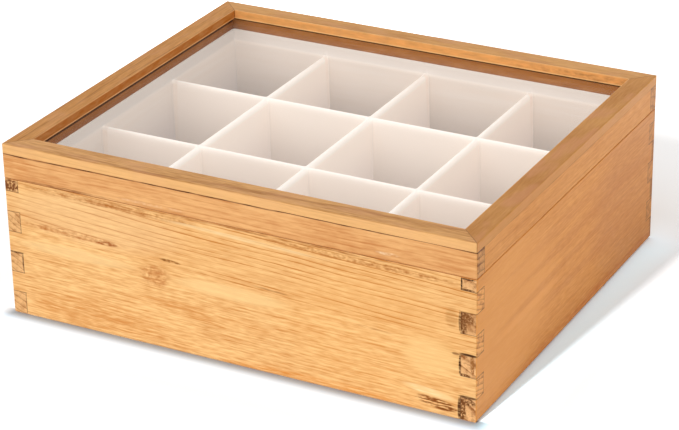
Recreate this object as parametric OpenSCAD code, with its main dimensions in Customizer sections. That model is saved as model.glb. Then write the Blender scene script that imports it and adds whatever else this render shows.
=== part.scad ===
// Tea bag organizer box: a finger-jointed wooden box with a hinged, glazed lid
// and a one-piece moulded tray of tapered cells.
// Origin: centre of the box's bottom outline, on the surface it stands on.
// +X runs to the right along the long front, +Y to the back, +Z up. Millimetres.

/* [Box] */
// Outside width of the box, left to right
box_w = 320; // [240:1:400]
// Outside depth of the box, front to back
box_d = 275; // [200:1:340]
// Height of the body, from the table to its top edge
body_h = 93; // [75:1:120]
// Thickness of the body boards and of the lid's skirt rails
board_t = 10; // [9:0.5:12]

/* [Finger joints] */
// Height of the lowest finger, which is part of the side boards
foot_finger_h = 16; // [12:0.5:22]
// Height of every finger above the lowest one
finger_h = 13.8; // [10:0.1:18]

/* [Worked edges] */
// Rounding of the outside edges at the foot
foot_round = 2.5; // [0.5:0.1:4]
// Rounding of the upright outside corners
corner_round = 1; // [0.3:0.1:3]
// Rounding of the outside edges next to the seam
seam_round = 0.5; // [0.2:0.1:1]
// Rounding of the outside edges of the lid's top
top_round = 0.8; // [0.3:0.1:2]

/* [Bottom panel] */
// Thickness of the bottom panel
panel_t = 4; // [3:0.5:6]
// Height of the panel's underside above the table
panel_lift = 4; // [3:0.5:8]
// Depth of the groove that takes the panel's edge
panel_groove = 4; // [2:0.5:6]
// Play between the panel's edge and the bottom of its groove
panel_play = 0.2; // [0.1:0.1:0.5]

/* [Lid] */
// Height of the seam between the body and the closed lid
seam_gap = 0.4; // [0.3:0.1:1]
// Height of the lid's skirt rails
skirt_h = 16.8; // [12:0.1:30]
// Thickness of the mitred top frame
frame_t = 6; // [4:0.5:10]
// Width of the top frame's rails
frame_w = 14; // [13:0.5:24]
// Angle at which the hinges stop the open lid
lid_open_deg = 100; // [90:1:110]

/* [Window pane] */
// Thickness of the clear pane
pane_t = 3; // [2:0.5:4]
// Width of the rebate that the pane lies in
pane_lap = 5; // [3:0.5:6]
// Play between the pane's edge and the rebate
pane_side_play = 0.3; // [0.1:0.1:0.8]
// Play between the pane and the top frame
pane_top_play = 0.1; // [0.1:0.1:0.5]

/* [Divider tray] */
// Number of cells from left to right
columns = 4; // [2:1:6]
// Number of cells from front to back
rows = 3; // [2:1:4]
// Wall thickness of the moulded tray
tray_wall = 1.2; // [0.8:0.1:2]
// Play between the tray and the boards
tray_play = 0.4; // [0.3:0.1:1]
// Width of a divider at its top
divider_t = 4; // [3:0.5:6]
// How far the dividers stop below the body's top edge
divider_drop = 1.5; // [0:0.5:6]
// How far the tray's rim stands above the body's top edge
rim_rise = 6; // [3:0.5:9]
// How much narrower an end cell is than a middle cell, per side wall
end_cell_trim = 2.5; // [0:0.1:6]
// Draft angle of the cell walls
cell_draft = 2; // [0:0.5:3]
// Corner radius of the cells at their floor
cell_round = 3; // [1:0.5:8]
// Width of the ledge between the rim and the mouths of the cells
rim_step = 0.4; // [0.2:0.1:1.5]
// Rounding-off of the dividers' top edges
mouth_ease = 1.2; // [0.4:0.1:1.4]

/* [Hinges] */
// Distance from the box's end to the middle of a hinge
hinge_inset = 60; // [30:1:90]
// Length of a hinge
leaf_len = 25; // [18:1:40]
// Width of a leaf on the wood
leaf_w = 8; // [6:0.5:9]
// Thickness of a leaf
leaf_t = 1; // [0.8:0.1:1.2]
// Number of knuckles, an odd number so that the body's leaf has both ends
knuckles = 5; // [3:2:7]
// Radius of the knuckles
barrel_r = 1.6; // [1.4:0.1:2.5]
// Radius of the hinge pin
pin_r = 0.8; // [0.6:0.1:1]
// Radial running play between pin and knuckle
pin_play = 0.05; // [0.02:0.01:0.08]
// Gap between neighbouring knuckles
knuckle_gap = 0.3; // [0.3:0.1:0.6]
// Gap between the knuckles and the back of the box
barrel_stand = 0.4; // [0.3:0.1:1]
// Radius of a pin's riveted head
pin_head_r = 1.2; // [1:0.1:1.6]
// Height of a pin's riveted head
pin_head_h = 0.5; // [0.3:0.1:1]
// Reach of the stop flanges beyond the knuckles
stop_reach = 1.4; // [1:0.1:2]
// Angle that a stop flange spans about the pin
stop_span_deg = 25; // [15:1:35]
// Angle left between the stop flanges when the lid is fully open
stop_play_deg = 2; // [1:0.5:4]
// Play of a leaf in its mortise, at each end
mortise_play = 0.1; // [0.1:0.1:0.4]

/* [Hinge screws] */
// Radius of the shank
screw_r = 1; // [0.8:0.1:1.2]
// Radius of the countersunk head
screw_head_r = 1.8; // [1.5:0.1:2]
// Length over all
screw_len = 8; // [6:0.5:9]
// Length of the point
screw_point = 2; // [1:0.5:3]
// Distance between the two screws of a leaf
screw_spacing = 14; // [10:0.5:18]
// Width of the arms of the cross in a head
cross_w = 0.4; // [0.3:0.1:0.6]
// Depth of the cross in a head
cross_d = 0.4; // [0.2:0.1:0.6]

/* [Hidden] */

$fn = 48;
overcut = 1;
half_w = box_w / 2;
half_d = box_d / 2;
inside_w = box_w - 2 * board_t;
inside_d = box_d - 2 * board_t;

// Heights, from the table up
lid_z = body_h + seam_gap;
skirt_top_z = lid_z + skirt_h;
lid_top_z = skirt_top_z + frame_t;
pane_z = skirt_top_z - pane_top_play - pane_t;
tray_z = panel_lift + panel_t;
divider_top_z = body_h - divider_drop;
rim_top_z = body_h + rim_rise;

// Tray plan
tray_w = inside_w - 2 * tray_play;
tray_d = inside_d - 2 * tray_play;
cells_w = tray_w - 2 * tray_wall - 2 * rim_step;
cells_d = tray_d - 2 * tray_wall - 2 * rim_step;
column_pitch = (cells_w + divider_t + 2 * end_cell_trim) / columns;
row_pitch = (cells_d + divider_t + 2 * end_cell_trim) / rows;
draft_slope = tan(cell_draft);
// How far a cell's hollow runs on above the divider tops, so that no skin is left there
open_top = 0.05;
// Height of the slices that a tapered block is spanned between
slice_h = 0.05;
// Facets round the corners of the cells and round their eased mouths: two counts that share
// no ridge at 45 degrees, so that the two surfaces cross cleanly
cell_facets = 16;
mouth_facets = 12;

// Hinge places
hinge_x = half_w - hinge_inset;
pin_y = half_d + barrel_stand + barrel_r;
pin_z = body_h + seam_gap / 2;
knuckle_pitch = leaf_len / knuckles;
stop_from_deg = (lid_open_deg + stop_play_deg) / 2;
stop_r = barrel_r + stop_reach;
screw_y = half_d - leaf_w / 2;

WOOD = "#D9A066";
WOOD_DARK = "#C08850";
TRAY_WHITE = "#EFE9E2";
BRASS = "#C8A24C";

// The two sets of heights at which fingers lie, counted up from the table
side_fingers = concat([[0, foot_finger_h]],
    [for (z = foot_finger_h + finger_h; z < body_h; z = z + 2 * finger_h) [z, min(z + finger_h, body_h)]]);
front_fingers =
    [for (z = foot_finger_h; z < body_h; z = z + 2 * finger_h) [z, min(z + finger_h, body_h)]];

function divider_x(k) = (k - columns / 2) * column_pitch;
function divider_y(k) = (k - rows / 2) * row_pitch;

// ---- Helpers ----------------------------------------------------------------

module on_both_sides() {
    children();
    mirror([1, 0, 0]) children();
}

module on_four_corners() {
    on_both_sides() {
        children();
        mirror([0, 1, 0]) children();
    }
}

// What rounding takes off an edge: the edge is the Z axis, and the wood lies towards +X and +Y
module edge_waste(r, length) {
    translate([0, 0, -length / 2]) difference() {
        translate([-overcut, -overcut, 0]) cube([r + overcut, r + overcut, length]);
        translate([r, r, -overcut]) cylinder(r = r, h = length + 2 * overcut);
    }
}

// All the rounding waste of a box that stands from z0 to z1
module outline_waste(z0, z1, low_r, high_r) {
    tall = z1 - z0 + 2 * overcut;
    on_four_corners()
        translate([-half_w, -half_d, (z0 + z1) / 2]) edge_waste(corner_round, tall);
    for (turn = [0, 180]) rotate([0, 0, turn]) {
        translate([0, -half_d, z0]) rotate([90, 0, 90]) edge_waste(low_r, box_w + 2 * overcut);
        translate([0, -half_d, z1]) rotate([0, 90, 0]) edge_waste(high_r, box_w + 2 * overcut);
        translate([-half_w, 0, z0]) rotate([90, 0, 0]) edge_waste(low_r, box_d + 2 * overcut);
        translate([-half_w, 0, z1]) rotate([-90, 0, 0]) edge_waste(high_r, box_d + 2 * overcut);
    }
}

module round_body() {
    difference() {
        children();
        outline_waste(0, body_h, foot_round, seam_round);
    }
}

module round_lid() {
    difference() {
        children();
        outline_waste(lid_z, lid_top_z, seam_round, top_round);
    }
}

// Groove for the bottom panel, as one block through all four boards
module panel_block(play) {
    w = inside_w + 2 * (panel_groove - play);
    d = inside_d + 2 * (panel_groove - play);
    translate([-w / 2, -d / 2, panel_lift]) cube([w, d, panel_t]);
}

// ---- Body boards ------------------------------------------------------------

// A front or back board: full width, with notches for the side boards' fingers
module long_board() {
    difference() {
        translate([-half_w, -half_d, 0]) cube([box_w, board_t, body_h]);
        for (f = side_fingers) on_both_sides()
            translate([half_w - board_t, -half_d - overcut, f[0]])
                cube([board_t + overcut, board_t + 2 * overcut, f[1] - f[0]]);
        panel_block(0);
    }
}

// The left side board: full depth, with notches for the front and back boards' fingers
module short_board() {
    difference() {
        translate([-half_w, -half_d, 0]) cube([board_t, box_d, body_h]);
        for (f = front_fingers, turn = [0, 1]) mirror([0, turn, 0])
            translate([-half_w - overcut, half_d - board_t, f[0]])
                cube([board_t + 2 * overcut, board_t + overcut, f[1] - f[0]]);
        panel_block(0);
    }
}

module front_board() {
    color(WOOD) round_body() long_board();
}

module back_board() {
    color(WOOD) difference() {
        round_body() mirror([0, 1, 0]) long_board();
        on_both_sides() translate([hinge_x, 0, 0]) {
            leaf_block(mortise_play);
            leaf_screws();
        }
    }
}

module left_board() {
    color(WOOD_DARK) round_body() short_board();
}

module right_board() {
    color(WOOD_DARK) round_body() mirror([1, 0, 0]) short_board();
}

module bottom_panel() {
    color(WOOD) panel_block(panel_play);
}

// ---- Divider tray -----------------------------------------------------------

module rounded_plan(w, d, r) {
    square([w - 2 * r, d], center = true);
    square([w, d - 2 * r], center = true);
    for (x = [-1, 1], y = [-1, 1]) translate([x * (w / 2 - r), y * (d / 2 - r)]) circle(r = r);
}

module tray_plate(w, d, r, z0, z1) {
    translate([0, 0, z0]) linear_extrude(height = z1 - z0) rounded_plan(w, d, r);
}

// A block whose sides lean outwards on their way up, and run straight on for the last slice
module tapered_block(w_top, d_top, h, lean, r) {
    hull() {
        linear_extrude(height = slice_h) rounded_plan(w_top - 2 * lean, d_top - 2 * lean, r);
        translate([0, 0, h - slice_h]) linear_extrude(height = slice_h) rounded_plan(w_top, d_top, r);
    }
}

// One block for each cell, wider at the top than the cell by grow_out on the sides that face
// the boards and by grow_in on the sides that face a divider
module each_cell(grow_out, grow_in, z, h, lean, r) {
    for (i = [0:columns - 1], j = [0:rows - 1]) {
        x0 = i == 0 ? -cells_w / 2 - grow_out : divider_x(i) + divider_t / 2 - grow_in;
        x1 = i == columns - 1 ? cells_w / 2 + grow_out : divider_x(i + 1) - divider_t / 2 + grow_in;
        y0 = j == 0 ? -cells_d / 2 - grow_out : divider_y(j) + divider_t / 2 - grow_in;
        y1 = j == rows - 1 ? cells_d / 2 + grow_out : divider_y(j + 1) - divider_t / 2 + grow_in;
        translate([(x0 + x1) / 2, (y0 + y1) / 2, z]) tapered_block(x1 - x0, y1 - y0, h, lean, r);
    }
}

module divider_tray() {
    cup_h = divider_top_z - tray_z - tray_wall / 2;
    cell_h = divider_top_z - tray_z - tray_wall + open_top;
    ease_h = mouth_ease + open_top;
    color(TRAY_WHITE) difference() {
        union() {
            each_cell(tray_wall, tray_wall, tray_z, cup_h, cup_h * draft_slope, cell_round + tray_wall, $fn = cell_facets);
            tray_plate(tray_w, tray_d, cell_round + tray_wall + rim_step, divider_top_z - tray_wall, rim_top_z,
                $fn = cell_facets);
        }
        tray_plate(tray_w - 2 * tray_wall, tray_d - 2 * tray_wall, cell_round + rim_step,
            divider_top_z, rim_top_z + overcut, $fn = cell_facets);
        each_cell(0, 0, tray_z + tray_wall, cell_h, cell_h * draft_slope, cell_round, $fn = cell_facets);
        each_cell(-mouth_ease, mouth_ease, divider_top_z + open_top - ease_h, ease_h, ease_h, cell_round + mouth_ease,
            $fn = mouth_facets);
    }
}

// ---- Lid --------------------------------------------------------------------

// The room that the pane lies in, cut from all four skirt rails
module pane_block(play, z0, z1) {
    w = inside_w + 2 * (pane_lap - play);
    d = inside_d + 2 * (pane_lap - play);
    translate([-w / 2, -d / 2, z0]) cube([w, d, z1 - z0]);
}

// A front or back skirt rail, which laps the ends of the side rails
module long_rail() {
    difference() {
        translate([-half_w, -half_d, lid_z]) cube([box_w, board_t, skirt_h]);
        pane_block(0, pane_z, skirt_top_z + overcut);
    }
}

module short_rail() {
    difference() {
        translate([-half_w, -inside_d / 2, lid_z]) cube([board_t, inside_d, skirt_h]);
        pane_block(0, pane_z, skirt_top_z + overcut);
    }
}

module lid_front_rail() {
    color(WOOD) round_lid() long_rail();
}

module lid_back_rail() {
    color(WOOD) difference() {
        round_lid() mirror([0, 1, 0]) long_rail();
        flip_at_seam() on_both_sides() translate([hinge_x, 0, 0]) {
            leaf_block(mortise_play);
            leaf_screws();
        }
    }
}

module lid_left_rail() {
    color(WOOD_DARK) round_lid() short_rail();
}

module lid_right_rail() {
    color(WOOD_DARK) round_lid() mirror([1, 0, 0]) short_rail();
}

// One mitred rail along an edge that is 2 * half_l long and lies half_n from the middle.
// It is rounded on its own edge only, as its neighbour's rounding meets it at the mitre.
module mitred_rail(half_l, half_n) {
    difference() {
        translate([0, 0, skirt_top_z]) linear_extrude(height = frame_t)
            polygon([[-half_l, -half_n], [half_l, -half_n],
                [half_l - frame_w, frame_w - half_n], [frame_w - half_l, frame_w - half_n]]);
        on_both_sides() translate([-half_l, -half_n, skirt_top_z + frame_t / 2])
            edge_waste(corner_round, frame_t + 2 * overcut);
        translate([0, -half_n, lid_top_z]) rotate([0, 90, 0])
            edge_waste(top_round, 2 * half_l + 2 * overcut);
    }
}

module top_frame_front() {
    color(WOOD_DARK) mitred_rail(half_w, half_d);
}

module top_frame_back() {
    color(WOOD_DARK) mirror([0, 1, 0]) mitred_rail(half_w, half_d);
}

module top_frame_left() {
    color(WOOD_DARK) rotate([0, 0, -90]) mitred_rail(half_d, half_w);
}

module top_frame_right() {
    color(WOOD_DARK) rotate([0, 0, 90]) mitred_rail(half_d, half_w);
}

module window_pane() {
    color("#DDEEF2", 0.35) pane_block(pane_side_play, pane_z, pane_z + pane_t);
}

// ---- Hinges: stop butt hinges, drawn at x = 0 on the body's side of the seam --

// Turns the body's half of a hinge into the lid's half
module flip_at_seam() {
    translate([0, 0, 2 * pin_z]) mirror([0, 0, 1]) children();
}

module leaf_block(play) {
    translate([-leaf_len / 2 - play, half_d - leaf_w - play, body_h - leaf_t])
        cube([leaf_len + 2 * play, leaf_w + play, leaf_t]);
}

module along_pin(length) {
    translate([-length / 2, pin_y, pin_z]) rotate([90, 0, 90]) children();
}

// Places children at the knuckles that belong to one leaf: 0 for the body's, 1 for the lid's
module each_knuckle(own) {
    for (k = [own:2:knuckles - 1])
        translate([(k + 0.5) * knuckle_pitch - leaf_len / 2, 0, 0]) children();
}

// The flat sector of a stop flange, from r0 to r1, on the body's side of the pin
module stop_sector(r0, r1, length) {
    a = -stop_from_deg;
    b = -stop_from_deg - stop_span_deg;
    along_pin(length) linear_extrude(height = length)
        polygon([[r0 * cos(a), r0 * sin(a)], [r1 * cos(a), r1 * sin(a)],
            [r1 * cos(b), r1 * sin(b)], [r0 * cos(b), r0 * sin(b)]]);
}

module leaf_half(own) {
    knuckle_len = knuckle_pitch - knuckle_gap;
    difference() {
        union() {
            leaf_block(0);
            each_knuckle(own) {
                along_pin(knuckle_len) cylinder(r = barrel_r, h = knuckle_len);
                translate([-knuckle_len / 2, half_d - overcut, body_h - leaf_t])
                    cube([knuckle_len, pin_y - half_d + overcut, leaf_t]);
                stop_sector(pin_r, stop_r, knuckle_len);
            }
            stop_sector(barrel_r + knuckle_gap, stop_r, leaf_len);
        }
        along_pin(leaf_len + 2 * overcut) cylinder(r = pin_r + pin_play, h = leaf_len + 2 * overcut);
        leaf_screws();
    }
}

// One countersunk screw, its head flush with z = 0 and its point down
module screw() {
    head_h = screw_head_r - screw_r;
    difference() {
        union() {
            translate([0, 0, -head_h]) cylinder(r1 = screw_r, r2 = screw_head_r, h = head_h);
            translate([0, 0, screw_point - screw_len]) cylinder(r = screw_r, h = screw_len - screw_point);
            translate([0, 0, -screw_len]) cylinder(r1 = 0, r2 = screw_r, h = screw_point);
        }
        children();
    }
}

module screw_cross() {
    for (turn = [0, 90]) rotate([0, 0, turn])
        translate([-screw_r, -cross_w / 2, -cross_d]) cube([2 * screw_r, cross_w, cross_d + overcut]);
}

// The two screws of a leaf as plain solids, also used to cut their holes
module leaf_screws() {
    for (x = [-1, 1]) translate([x * screw_spacing / 2, screw_y, body_h]) screw();
}

module driven_screws() {
    for (x = [-1, 1]) translate([x * screw_spacing / 2, screw_y, body_h]) screw() screw_cross();
}

module hinge_pin() {
    shank = leaf_len - knuckle_gap;
    along_pin(shank) cylinder(r = pin_r, h = shank);
    for (side = [-1, 1]) translate([side * (shank + pin_head_h) / 2, 0, 0])
        along_pin(pin_head_h) cylinder(r = pin_head_r, h = pin_head_h);
}

module left_hinge_body_leaf() {
    color(BRASS) translate([-hinge_x, 0, 0]) leaf_half(0);
}

module right_hinge_body_leaf() {
    color(BRASS) translate([hinge_x, 0, 0]) leaf_half(0);
}

module left_hinge_lid_leaf() {
    color(BRASS) translate([-hinge_x, 0, 0]) flip_at_seam() leaf_half(1);
}

module right_hinge_lid_leaf() {
    color(BRASS) translate([hinge_x, 0, 0]) flip_at_seam() leaf_half(1);
}

module left_hinge_pin() {
    color(BRASS) translate([-hinge_x, 0, 0]) hinge_pin();
}

module right_hinge_pin() {
    color(BRASS) translate([hinge_x, 0, 0]) hinge_pin();
}

module body_hinge_screws() {
    color(BRASS) on_both_sides() translate([hinge_x, 0, 0]) driven_screws();
}

module lid_hinge_screws() {
    color(BRASS) flip_at_seam() on_both_sides() translate([hinge_x, 0, 0]) driven_screws();
}

// ---- Nodes ------------------------------------------------------------------

front_board();
back_board();
left_board();
right_board();
bottom_panel();
divider_tray();
lid_front_rail();
lid_back_rail();
lid_left_rail();
lid_right_rail();
top_frame_front();
top_frame_back();
top_frame_left();
top_frame_right();
window_pane();
left_hinge_body_leaf();
left_hinge_lid_leaf();
left_hinge_pin();
right_hinge_body_leaf();
right_hinge_lid_leaf();
right_hinge_pin();
body_hinge_screws();
lid_hinge_screws();
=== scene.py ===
# %% [markdown] # Tea bag organizer box  A finger-jointed wooden box with a hinged, glazed lid
# and a white moulded tray of twelve cells. The solids come from the CAD frame. This file dresses
# them: it gives each board its own wood, makes the tray and the screws again with finer shapes,
# and sets up the pane, the brass, the floor, the light and the camera. A piece that is made
# again rides on one of two bodies, the base or the lid, so the lid can still swing.

# %% Load the frame
import math

import bmesh
import bpy
from mathutils import Matrix, Vector


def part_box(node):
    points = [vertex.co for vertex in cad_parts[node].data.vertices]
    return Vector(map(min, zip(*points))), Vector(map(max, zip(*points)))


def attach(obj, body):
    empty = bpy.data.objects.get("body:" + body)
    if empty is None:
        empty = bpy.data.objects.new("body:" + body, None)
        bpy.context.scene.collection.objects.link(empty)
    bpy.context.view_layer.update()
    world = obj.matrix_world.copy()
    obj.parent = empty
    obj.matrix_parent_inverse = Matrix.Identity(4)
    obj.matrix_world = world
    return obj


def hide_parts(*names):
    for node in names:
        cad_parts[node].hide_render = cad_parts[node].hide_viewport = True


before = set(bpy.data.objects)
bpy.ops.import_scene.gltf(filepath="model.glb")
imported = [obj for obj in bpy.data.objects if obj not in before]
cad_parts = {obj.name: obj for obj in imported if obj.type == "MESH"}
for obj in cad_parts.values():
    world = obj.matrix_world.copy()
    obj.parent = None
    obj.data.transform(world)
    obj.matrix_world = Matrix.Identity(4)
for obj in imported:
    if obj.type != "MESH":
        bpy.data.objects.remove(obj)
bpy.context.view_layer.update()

# %% [markdown]
# ## Sizes
#
# The finishes need to know where the boards, the seam and the tray are. These sizes could be
# typed in, but they would go wrong as soon as the CAD changed. So they are read from the boxes of
# the CAD nodes. Lengths are in millimetres wherever a name doesn't say otherwise.

# %% Sizes from the nodes
MM = 0.001


def node_box(name):
    low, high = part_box(name)
    return low / MM, high / MM


board_low, board_high = node_box("front_board")
tray_low, tray_high = node_box("divider_tray")
frame_low, frame_high = node_box("top_frame_front")

HALF_W = board_high.x
HALF_D = node_box("right_board")[1].y
BODY_H = board_high.z
BOARD = board_high.y - board_low.y
LID_BOTTOM = node_box("lid_front_rail")[0].z
LID_TOP = frame_high.z
GLUE_Z = frame_low.z
print("box %.0f x %.0f x %.1f mm, seam %.1f mm wide"
      % (2 * HALF_W, 2 * HALF_D, LID_TOP, LID_BOTTOM - BODY_H))

# %% [markdown]
# ## Shader expressions
#
# Every finish of the box is a formula of the place on it: growth rings round a pith, a glue line
# at a corner, a tray that darkens towards its floor. The nodes could be added and linked one by
# one, which takes three lines for each sum and hides the thought. `Sock` wraps one output of a
# node instead. Python's operators on it add Math and Vector Math nodes, and `Sock.node` adds any
# other node, so a formula for a grain line reads as a formula.

# %% The socket class
class Sock:
    tree = None

    def __init__(self, output):
        self.output = output

    @classmethod
    def node(cls, kind, inputs=None, out=0, **settings):
        whole = kind.startswith(("Geometry", "Function"))
        made = cls.tree.nodes.new(kind if whole else "ShaderNode" + kind)
        for key, value in settings.items():
            setattr(made, key, value)
        for key, value in (inputs or {}).items():
            socket = made.inputs[key]
            if isinstance(value, Sock):
                cls.tree.links.new(value.output, socket)
            else:
                socket.default_value = value
        return Sock(made.outputs[out])

    def _join(self, other, operation, flipped=False):
        pair = (other, self) if flipped else (self, other)
        if self.output.type == "VECTOR":
            return Sock.node("VectorMath", dict(enumerate(pair)), operation=operation)
        return Sock.node("Math", dict(enumerate(pair)), operation=operation)

    def __add__(self, other):
        return self._join(other, "ADD")

    def __radd__(self, other):
        return self._join(other, "ADD", True)

    def __sub__(self, other):
        return self._join(other, "SUBTRACT")

    def __rsub__(self, other):
        return self._join(other, "SUBTRACT", True)

    def __mul__(self, other):
        return self._join(other, "MULTIPLY")

    def __rmul__(self, other):
        return self._join(other, "MULTIPLY", True)

    def __truediv__(self, other):
        return self._join(other, "DIVIDE")

    def __rtruediv__(self, other):
        return self._join(other, "DIVIDE", True)

    def __pow__(self, other):
        return self._join(other, "POWER")

    def __abs__(self):
        return self._join(0.0, "ABSOLUTE")

    def fract(self):
        return self._join(0.0, "FRACT")

    def least(self, other):
        return self._join(other, "MINIMUM")

    def most(self, other):
        return self._join(other, "MAXIMUM")


print("socket class ready, with", len([key for key in vars(Sock) if key.startswith("__r")]),
      "reflected operators")

# %% [markdown]
# ### Steps, vectors and noise
#
# Real wood and plastic are never even, and their parts have soft borders. Image textures could
# give both, but they would have to be unwrapped onto each board and would blur close up.
# Three small patterns do it here: a smooth step marks off a region, a vector stretches a pattern
# along the grain, and noise breaks up what is too even.

# %% Patterns
def rise(value, start, end):
    """0 where value is at start or before, 1 at end or after, and a smooth step between."""
    inputs = {"Value": value, "From Min": start, "From Max": end}
    return Sock.node("MapRange", inputs, interpolation_type="SMOOTHSTEP")


def vector(x, y, z):
    return Sock.node("CombineXYZ", {0: x, 1: y, 2: z})


def split(whole):
    """A vector's three parts, each as a socket."""
    made = Sock.tree.nodes.new("ShaderNodeSeparateXYZ")
    Sock.tree.links.new(whole.output, made.inputs[0])
    return [Sock(output) for output in made.outputs]


def noise(position, scale=1.0, detail=2.0, shift=0.0):
    """Noise about 0, mostly within plus and minus a half. Each shift gives another pattern."""
    if shift:
        position = position + (shift * 3.71, shift * 1.93, shift * 5.37)
    inputs = {"Vector": position, "Scale": scale, "Detail": detail}
    return Sock.node("TexNoise", inputs, noise_dimensions="3D") - 0.5


print("patterns ready")

# %% [markdown]
# ### Colours
#
# Shaders add up light, so they work in linear colour, while a maker picks colours as rrggbb. The
# first helper turns one into the other. The second blends two colours by a share with a Mix node,
# because a Math node would turn them grey.

# %% Colours
def colour(text):
    """A colour written as rrggbb, as a shader's linear colour."""
    parts = [int(text[k:k + 2], 16) / 255 for k in (0, 2, 4)]
    linear = [p / 12.92 if p <= 0.04045 else ((p + 0.055) / 1.055) ** 2.4 for p in parts]
    return tuple(linear) + (1.0,)


def grey(level):
    return (level, level, level, 1.0)


def blend_colours(share, first, second, mode="MIX"):
    inputs = {0: share, 6: first, 7: second}
    return Sock.node("Mix", inputs, out=2, data_type="RGBA", blend_type=mode, clamp_factor=True)


print("half grey on a screen is %.3f in linear light" % colour("808080")[0])

# %% [markdown]
# ### Materials
#
# A new material comes with nodes of its own. Here each one starts empty and ends in one link to
# its surface, so nothing is left over. The patterns are tied to Object coordinates: they stay in
# the wood when the lid swings, and they run on round an edge, which an unwrapped picture doesn't.
# A Light Path node tells kinds of ray apart, where one surface has to look one way and light the
# box another.

# %% Start and finish a material
def start_material(name):
    made = bpy.data.materials.new(name)
    made.use_nodes = True
    made.node_tree.nodes.clear()
    Sock.tree = made.node_tree
    return made


def finish_material(made, shader):
    output = made.node_tree.nodes.new("ShaderNodeOutputMaterial")
    made.node_tree.links.new(shader.output, output.inputs["Surface"])
    return made


def coated(base, roughness, normal=None, **fixed):
    """A Principled shader. Plain numbers stay on its own sockets."""
    inputs = {"Base Color": base, "Roughness": roughness}
    if normal is not None:
        inputs["Normal"] = normal
    inputs.update({key.replace("_", " "): value for key, value in fixed.items()})
    return Sock.node("BsdfPrincipled", inputs)


def mix_shaders(share, first, second):
    return Sock.node("MixShader", {0: share, 1: first, 2: second})


print("materials can be started and finished")


# %% Place, facing and kind of ray
def place_mm():
    """The place on the object in millimetres, as three sockets."""
    return split(Sock.node("TexCoord", out="Object") * (1 / MM, 1 / MM, 1 / MM))


def facing():
    """The surface's own normal on the object, as three sockets."""
    return split(Sock.node("TexCoord", out="Normal"))


def ray_is(*kinds):
    """1 for a ray of any of these kinds, which are named as on the Light Path node."""
    path = Sock.tree.nodes.new("ShaderNodeLightPath")
    found = Sock(path.outputs["Is %s Ray" % kinds[0]])
    for kind in kinds[1:]:
        found = found.most(Sock(path.outputs["Is %s Ray" % kind]))
    return found


SHOWING = ("Camera", "Glossy", "Transmission")
print("rays that show a surface:", ", ".join(SHOWING))

# %% [markdown]
# ## Wood: growth rings
#
# The box is sawn from a pale, warm wood. A board shows the rings of its tree as long lines on its
# face and as arcs on its sawn end. A picture of grain would need one image for the face and one
# for the end, and the two would not meet at the edge. Here the rings are wavy tubes round a pith
# line that lies beside the board, so the board cuts through them and face and end agree.

# %% Growth rings
def growth_rings(run, a, fall, ring, bend, seed):
    """Late wood, its dark line, and how far both stand out here. ring is the rings' spacing."""
    slow = noise(vector(run / 120, a / 30, fall / 30), detail=1.0, shift=seed + 1.3)
    quick = noise(vector(run / 35, a / 8, fall / 8), detail=1.0, shift=seed + 2.7)
    away = (a * a + fall * fall) ** 0.5 + slow * (bend[0] * 2) + quick * (bend[1] * 2)
    uneven = noise(vector(away / 9, 0.0, 0.0), detail=1.0, shift=seed + 4.1)
    turn = (away / ring + uneven * 1.1).fract()
    late = rise(turn, 0.3, 0.94) * (1.0 - rise(turn, 0.94, 1.0))
    line = rise(turn, 0.72, 0.88) * (1.0 - rise(turn, 0.88, 1.0))
    patches = noise(vector(run / 60, away / 3.5, 0.0), detail=1.0, shift=seed + 9.0)
    return late, line, rise(patches, -0.2, 0.18)


print("growth rings ready")

# %% [markdown]
# ## Wood: strands, fibre and sawn ends
#
# Between the rings the wood has fine strands, short fibres and slow clouds of colour, and across
# its sawn ends it is blotched and speckled. Each could be drawn by hand. Noise that is stretched
# along the board gives long strands and short fibres with two numbers each, and every board gets
# its own pattern from its seed.

# %% Strands, fibre and sawn ends
def strands(run, a, b, gentle, seed):
    """Four patterns about 0: long stripes, short fibres, small mottles and slow clouds."""
    stripe = noise(vector(run / 38, a / 1.15, gentle / 1.15), detail=1.5, shift=seed + 7.7)
    fibre = noise(vector(run / 8, a / 1.1, gentle / 1.1), detail=1.0, shift=seed + 5.9)
    mottle = noise(vector(run / 2.6, a / 1.8, b / 1.8), detail=1.0, shift=seed + 14.0)
    cloud = noise(vector(run / 45, a / 14, b / 14), detail=2.0, shift=seed + 8.8)
    return stripe, fibre, mottle, cloud


def sawn_end(a, b, late, line, shades, seed):
    blotch = noise(vector(a / 3.6, b / 3.6, 0.0), detail=2.0, shift=seed + 10.0)
    speck = noise(vector(a / 0.9, b / 0.9, 0.0), detail=1.0, shift=seed + 13.0)
    grown = late * 0.3 + line * 0.3 + rise(blotch, -0.04, 0.12) * 0.4 + rise(speck, 0.0, 0.25) * 0.25
    return blend_colours(grown, colour(shades[0]), colour(shades[1]))


print("strands and sawn ends ready")

# %% [markdown]
# ## Wood: the whole material
#
# The boards are oiled, not varnished: a low, broad shine that follows the fibre, with grain that
# can just be felt. The patterns are added up to one depth of colour between a light and a dark
# tone, because wood has a single pigment that is thicker or thinner. The same fibre also drives
# the bump and the roughness, so that colour and shine belong together.

# %% The wood material
AXES = "XYZ"
GRAIN_M = 0.0003
OILED = 0.46


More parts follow.
